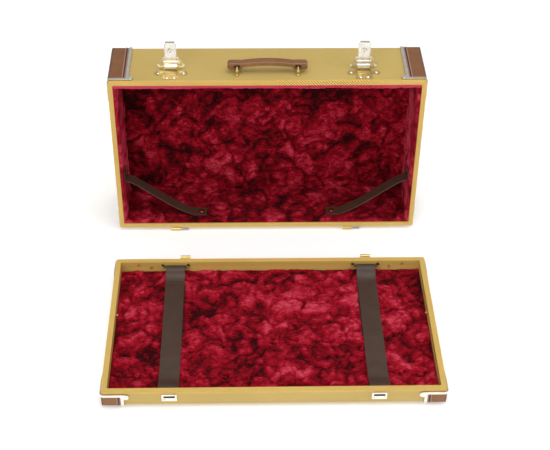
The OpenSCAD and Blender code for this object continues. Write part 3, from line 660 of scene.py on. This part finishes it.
side_plush = [
    plush_slab("cover_floor_plush", (INNER_W, LINING_D), LINING_T, 4.0 * MM,
               facing((COVER_X, middle_y, low_z), (1, 0, 0), (0, 1, 0)), COVER_PLUSH, "cover", 2, under_tabs),
    plush_slab("cover_roof_plush", (INNER_W, LINING_D + ROOF_LIP), LINING_T + 4 * MM, 4.0 * MM,
               facing((COVER_X, middle_y - ROOF_LIP / 2, high_z), (-1, 0, 0), (0, 1, 0)), COVER_PLUSH, "cover", 3,
               painted_highlight_edge=-1),
    plush_slab("cover_left_plush", (LINING_D, INNER_H), LINING_T + 0.5 * MM, 4.0 * MM,
               facing((COVER_X - INNER_W / 2, middle_y, COVER_Z), (0, 1, 0), (0, 0, 1)), COVER_PLUSH, "cover", 4,
               lean=upright),
    plush_slab("cover_right_plush", (LINING_D, INNER_H), LINING_T + 0.5 * MM, 4.0 * MM,
               facing((COVER_X + INNER_W / 2, middle_y, COVER_Z), (0, -1, 0), (0, 0, 1)), COVER_PLUSH, "cover", 5,
               lean=upright),
]
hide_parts("cover_side_lining")

STRAP_X = 188 * MM
STRAP_W = 37 * MM


def under_straps(x, y):
    """Share of the pile that stands up, pressed flat below the two tie straps."""
    clear = abs(abs(x) - STRAP_X) - STRAP_W / 2
    return max(0.0, min(1.0, clear / (9 * MM)))


pad_plush = plush_slab(
    "base_pad_plush", (INNER_W - 2.6 * MM, INNER_H - 2.6 * MM), PAD_T - 0.4 * MM, 6.5 * MM,
    facing((BASE_X, BASE_Y, base_lo.z + FLOOR_IN), (1, 0, 0), (0, 1, 0)), BASE_PLUSH, "base", 6, under_straps)
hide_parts("base_plush_pad")


# ---------- Straps ----------


def measured(path):
    """Running length at each point of a path."""
    total = [0.0]
    for first, second in zip(path, path[1:]):
        total.append(total[-1] + (second - first).length)
    return total


def strap(path, across, width, thick, wave=0.0):
    """A flat strap: a grid bent along a path, slightly crowned across, then given its thickness."""
    across = Vector(across).normalized()
    bm = bmesh.new()
    bmesh.ops.create_grid(bm, x_segments=8, y_segments=len(path) - 1, size=0.5)
    for vert in bm.verts:
        index = round((vert.co.y + 0.5) * (len(path) - 1))
        share = vert.co.x
        ahead = (path[min(index + 1, len(path) - 1)] - path[max(index - 1, 0)]).normalized()
        out = ahead.cross(across)
        sway = noise.noise(Vector((index * 0.13, share, wave * 1000))) * wave
        vert.co = path[index] + across * (share * width + sway) + out * ((0.25 - share * share) * 0.5 * MM)
    bmesh.ops.recalc_face_normals(bm, faces=bm.faces)
    bmesh.ops.solidify(bm, geom=bm.faces[:] + bm.edges[:] + bm.verts[:], thickness=thick)
    bmesh.ops.recalc_face_normals(bm, faces=bm.faces)
    return bm


def eased(made, width):
    bevel = made.modifiers.new("rounded_edges", "BEVEL")
    bevel.width = width
    bevel.segments = 2
    bevel.limit_method = "ANGLE"
    bevel.angle_limit = math.radians(50)
    return made


def stitches(path, offset, lift, pitch, length, radius):
    """A row of short threads along a path, moved sideways by offset and up by lift."""
    row = bmesh.new()
    stitch = bmesh.new()
    bmesh.ops.create_uvsphere(stitch, u_segments=6, v_segments=4, radius=1)
    lengths = measured(path)
    count = int(lengths[-1] / pitch)
    index = 0
    for number in range(1, count):
        along = number * pitch
        while lengths[index + 1] < along:
            index += 1
        share = (along - lengths[index]) / (lengths[index + 1] - lengths[index])
        heading = (path[index + 1] - path[index]).normalized()
        spot = path[index].lerp(path[index + 1], share) + offset + lift
        turn = Vector((0, 0, 1)).rotation_difference(heading).to_matrix().to_4x4()
        shape = Matrix.Diagonal((radius, radius, length / 2, 1))
        copied(row, stitch, Matrix.Translation(spot) @ turn @ shape)
    stitch.free()
    return row


STRAP_T = 1.5 * MM
WIRE_Z = base_lo.z + FLOOR_IN + PAD_T + 11 * MM
WIRE_REACH = HALF_H - WALL_IN - 1 * MM - 6 * MM
bed_z = base_lo.z + FLOOR_IN + PAD_T + 0.35 * MM + STRAP_T / 2


def tie_path(x):
    """Tie strap from its folded-back end at the rear, round the rear wire, and along to the front wire."""
    turn = 3.2 * MM
    gap = STRAP_T + 0.2 * MM
    rear = BASE_Y + WIRE_REACH
    front = BASE_Y - WIRE_REACH
    climb = [(-44, 0.0), (-36, 0.0), (-28, 0.6), (-20, 3.4), (-12, 7.8), (-6, 11.6)]
    path = [Vector((x, rear + y * MM, bed_z + gap + rise * MM)) for y, rise in climb]
    path += [Vector((x, rear + turn * math.cos(angle), WIRE_Z + turn * math.sin(angle)))
             for angle in (math.radians(100 - step * 22) for step in range(9))]
    path += [Vector((x, rear + y * MM, bed_z + rise * MM)) for y, rise in reversed(climb[1:-1])]
    run = front - rear + 72 * MM
    for step in range(1, 36):
        y = rear - 36 * MM + run * step / 36
        ripple = noise.noise(Vector((x * 50, y * 22, 3))) * 0.5 * MM + 0.3 * MM
        path.append(Vector((x, y, bed_z + max(0.0, ripple))))
    path += [Vector((x, front - y * MM, bed_z + rise * MM)) for y, rise in climb[1:-1]]
    path += [Vector((x, front + turn * math.cos(angle), WIRE_Z + turn * math.sin(angle)))
             for angle in (math.radians(-104 - step * 22) for step in range(9))]
    path += [Vector((x, front - y * MM, bed_z + gap + rise * MM)) for y, rise in reversed(climb)]
    return path


for side, sign in (("left", -1), ("right", 1)):
    x = BASE_X + sign * STRAP_X
    path = tie_path(x)
    made = eased(piece(side + "_tie_strap_leather", strap(path, (1, 0, 0), STRAP_W, STRAP_T, 0.4 * MM),
                       STRAP_LEATHER, "base", 60), 0.35 * MM)
    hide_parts(side + "_tie_strap")
    bed = [point for point in path if abs(point.z - bed_z) < 1 * MM and abs(point.y - BASE_Y) < 124 * MM]
    for offset in (-STRAP_W / 2 + 2.2 * MM, STRAP_W / 2 - 2.2 * MM):
        row = stitches(bed, Vector((offset, 0, 0)), Vector((0, 0, STRAP_T / 2 + 0.08 * MM)),
                       3.6 * MM, 2.6 * MM, 0.3 * MM)
        piece("%s_tie_stitching_%s" % (side, "outer" if offset * sign > 0 else "inner"), row,
              STRAP_THREAD, "base")
    rear = BASE_Y + WIRE_REACH
    tape_x = x - sign * 1.3 * MM
    tape_path = [Vector((tape_x, rear - (38 + 4.5 * step) * MM, bed_z - STRAP_T * 0.55)) for step in range(34)]
    eased(piece(side + "_tie_hook_tape", strap(tape_path, (1, 0, 0), STRAP_W, 0.9 * MM, 1.2 * MM),
                HOOK_TAPE, "base", 60), 0.2 * MM)
    for end, y in (("rear", rear - 41 * MM), ("front", 2 * BASE_Y - rear + 41 * MM)):
        seam = [Vector((x - STRAP_W / 2 + 2 * MM, y, 0)), Vector((x + STRAP_W / 2 - 2 * MM, y, 0))]
        row = stitches(seam, Vector((0, 0, bed_z)), Vector((0, 0, STRAP_T * 1.5 + 0.5 * MM)),
                       3.4 * MM, 2.5 * MM, 0.3 * MM)
        piece("%s_tie_%s_seam" % (side, end), row, STRAP_THREAD, "base")


def cubic(points, share):
    """Point on a cubic curve."""
    a, b, c, d = points
    rest = 1 - share
    return a * rest ** 3 + b * 3 * rest * rest * share + c * 3 * rest * share * share + d * share ** 3


STAY_W = 25 * MM
STAY_T = 1.9 * MM
STAY_Y = RIM_Y + STAY_IN


def stay_path(sign):
    """Stay strap from the side wall in a slack curve down to its square tab on the hinge wall."""
    wall = HALF_W - WALL_IN - LINING_T - 1.4 * MM
    low = cover_lo.z + WALL_IN + LINING_T + 1.6 * MM
    base_z = cover_lo.z

    def at(x, z):
        return Vector((COVER_X + sign * x, STAY_Y, z))

    slack = [at(wall, base_z + 107 * MM), at(wall - 24 * MM, base_z + 104 * MM), at(198 * MM, base_z + 32 * MM),
             at(150 * MM, low)]
    path = [at(wall, base_z + 130 * MM), at(wall, base_z + 122 * MM), at(wall, base_z + 114 * MM)]
    path += [cubic(slack, step / 28) for step in range(29)]
    path += [at(143 * MM, low - 0.2 * MM), at(134 * MM, low - 0.2 * MM), at(125 * MM, low - 0.2 * MM)]
    return path


for side, sign in (("left", -1), ("right", 1)):
    path = stay_path(sign)
    made = eased(piece(side + "_stay_strap_leather", strap(path, (0, 1, 0), STAY_W, STAY_T, 0.5 * MM),
                       STRAP_LEATHER, "cover", 60), 0.35 * MM)
    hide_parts(side + "_stay_strap")


# ---------- Handle ----------


def leather_handle():
    """The handle's outline with its long edges rolled over; the loop slots' edges are left as they are."""
    bm = bmesh.new()
    bm.from_mesh(frame["nodes"]["handle_strap"].data)
    bmesh.ops.remove_doubles(bm, verts=bm.verts, dist=0.004 * MM)
    bmesh.ops.dissolve_limit(bm, angle_limit=math.radians(0.4), verts=bm.verts, edges=bm.edges,
                             use_dissolve_boundaries=False)
    sharp = [edge for edge in bm.edges if edge.is_manifold and edge.calc_face_angle() > math.radians(60)]
    low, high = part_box("handle_strap")
    slots = []
    rims = []
    for edge in sharp:
        spot = (edge.verts[0].co + edge.verts[1].co) / 2
        in_slot = abs(abs(spot.x - COVER_X) - 58.5 * MM) < 6.3 * MM and low.z + 2.2 * MM < spot.z < high.z - 5 * MM
        (slots if in_slot else rims).append(edge)
    bmesh.ops.bevel(bm, geom=rims, offset=2.3 * MM, offset_type="OFFSET", affect="EDGES", segments=4,
                    profile=0.5, material=-1, clamp_overlap=True)
    bm.normal_update()
    return bm


handle = piece("handle_padded_leather", leather_handle(), HANDLE_LEATHER, "handle", 50)
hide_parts("handle_strap")

HANDLE_RISE = cover_hi.z + 18 * MM
HANDLE_T = 8 * MM


def arch(x):
    """Height of the handle's underside at x from its middle."""
    return HANDLE_RISE - 6.5 * MM * (x / (63 * MM)) ** 2


top_line = [Vector((COVER_X + x * MM, HANDLE_Y, arch(x * MM) + HANDLE_T)) for x in range(-56, 57, 4)]
for name, offset in (("front", -5.4 * MM), ("rear", 5.4 * MM)):
    row = stitches(top_line, Vector((0, offset, 0)), Vector((0, 0, 0.1 * MM)), 3.4 * MM, 2.5 * MM, 0.36 * MM)
    piece("handle_stitching_" + name, row, HANDLE_THREAD, "handle")


# ---------- Small details ----------


def turned(profile, segments=24):
    """A part turned on a lathe from (radius, height) points, closed where it meets its axis."""
    bm = bmesh.new()
    points = [bm.verts.new((radius, 0, height)) for radius, height in profile]
    lines = [bm.edges.new(pair) for pair in zip(points, points[1:])]
    bmesh.ops.spin(bm, geom=points + lines, cent=(0, 0, 0), axis=(0, 0, 1), dvec=(0, 0, 0),
                   angle=2 * math.pi, steps=segments, use_merge=True)
    bmesh.ops.remove_doubles(bm, verts=bm.verts, dist=0.001 * MM)
    bmesh.ops.recalc_face_normals(bm, faces=bm.faces)
    return bm


def boss():
    """Plain round boss pressed into the lever's face."""
    return turned([(0, 0.9 * MM), (1.4 * MM, 0.8 * MM), (2.4 * MM, 0.3 * MM), (3.6 * MM, 0.3 * MM),
                   (4.4 * MM, 0.9 * MM), (5.2 * MM, 0.9 * MM), (5.7 * MM, 0.0 * MM), (5.7 * MM, -0.5 * MM),
                   (0, -0.5 * MM)])


for side in ("left", "right"):
    low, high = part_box(side + "_lever")
    middle = (low + high) / 2
    plate_y = high.y - 3.0 * MM
    button = boss()
    bmesh.ops.transform(button, verts=button.verts, matrix=Matrix.Translation(
        (middle.x, plate_y, low.z + 27 * MM)) @ Matrix.Rotation(math.pi / 2, 4, "X"))
    piece(side + "_lever_boss", button, NICKEL, side + "_latch_lever")


def ring():
    """Clenched end of a rivet: a small rolled ring."""
    return turned([(0, 0.25 * MM), (1.0 * MM, 0.25 * MM), (1.5 * MM, 0.8 * MM), (2.2 * MM, 0.9 * MM),
                   (2.9 * MM, 0.5 * MM), (3.0 * MM, -0.2 * MM), (0, -0.2 * MM)])


rings = bmesh.new()
small = ring()
inner_back = BASE_Y + HALF_H - WALL_IN - 1.6 * MM
for x, z in ((-261, 26), (261, 26), (-236, 19.5), (236, 19.5)):
    copied(rings, small, Matrix.Translation((BASE_X + x * MM, inner_back, base_lo.z + z * MM))
           @ Matrix.Rotation(math.pi / 2, 4, "X"))
small.free()
piece("base_clenched_rings", rings, BRASS, "base")


# Painted shade: a thin black slab set in each strike slot, standing in for the shade in the slot.
slots = bmesh.new()
for side in (-1, 1):
    low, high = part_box("base_strikes")
    place = Matrix.Translation((BASE_X + side * 185.5 * MM, low.y + 2.6 * MM, high.z - 5.75 * MM))
    bmesh.ops.create_cube(slots, size=1, matrix=place @ Matrix.Diagonal((20.4 * MM, 0.5 * MM, 4.9 * MM, 1)))
bmesh.ops.bevel(slots, geom=slots.edges[:], offset=0.1 * MM, offset_type="OFFSET", affect="EDGES", segments=1,
                profile=0.5, material=-1)
piece("base_strike_slot_shade", slots, HOOK_TAPE, "base")


# ---------- Camera, floor and light ----------


def camera():
    target = Vector((9.2, 6.1, 157.9)) * MM
    elevation = math.radians(39.22)
    azimuth = math.radians(1.79)
    roll = math.radians(0.74)
    ahead = Vector((math.sin(azimuth) * math.cos(elevation), math.cos(azimuth) * math.cos(elevation),
                    -math.sin(elevation)))
    level = Vector((ahead.y, -ahead.x, 0)).normalized()
    upright = level.cross(ahead)
    right = level * math.cos(roll) + upright * math.sin(roll)
    up = upright * math.cos(roll) - level * math.sin(roll)
    data = bpy.data.cameras.new("camera")
    data.lens = 78.97
    data.sensor_width = 36
    data.clip_end = 50
    made = bpy.data.objects.new("camera", data)
    made.matrix_world = Matrix.Translation(target - ahead * 2.2905) @ Matrix(
        (right, up, -ahead)).transposed().to_4x4()
    bpy.context.scene.collection.objects.link(made)
    bpy.context.scene.camera = made


def floor():
    bm = bmesh.new()
    bmesh.ops.create_grid(bm, x_segments=1, y_segments=1, size=6)
    finish = Finish("pale_floor", Roughness=0.9, Specular_IOR_Level=0.1, Emission_Color=(1, 1, 1, 1),
                    Emission_Strength=0.22)
    paint = finish.place()
    drift = finish.noise(paint, 2.0)
    material = finish.done(finish.blend(drift * 0.1, srgb(252, 252, 252), srgb(244, 244, 244)))
    mesh = bpy.data.meshes.new("floor")
    bm.to_mesh(mesh)
    bm.free()
    mesh.materials.append(material)
    made = bpy.data.objects.new("floor", mesh)
    bpy.context.scene.collection.objects.link(made)


def soft_light(name, place, aim, size, power, colour=(1, 1, 1)):
    data = bpy.data.lights.new(name, "AREA")
    data.shape = "RECTANGLE"
    data.size, data.size_y = size
    data.energy = power
    data.color = colour
    made = bpy.data.objects.new(name, data)
    made.location = place
    made.rotation_mode = "QUATERNION"
    made.rotation_quaternion = (Vector(aim) - Vector(place)).to_track_quat("-Z", "Y")
    bpy.context.scene.collection.objects.link(made)


camera()
floor()
soft_light("overhead", (0.2, -0.3, 2.6), (0, 0, 0.1), (2.6, 2.2), 36)
soft_light("front", (-1.2, -2.6, 1.7), (0, 0, 0.15), (1.8, 1.4), 27)
soft_light("right_fill", (2.2, -0.8, 1.4), (0, 0, 0.2), (1.2, 1.2), 9)
world = bpy.data.worlds.new("studio")
world.use_nodes = True
world.node_tree.nodes["Background"].inputs["Color"].default_value = (1, 1, 1, 1)
world.node_tree.nodes["Background"].inputs["Strength"].default_value = 0.5
bpy.context.scene.world = world
bpy.context.scene.view_settings.view_transform = "Standard"
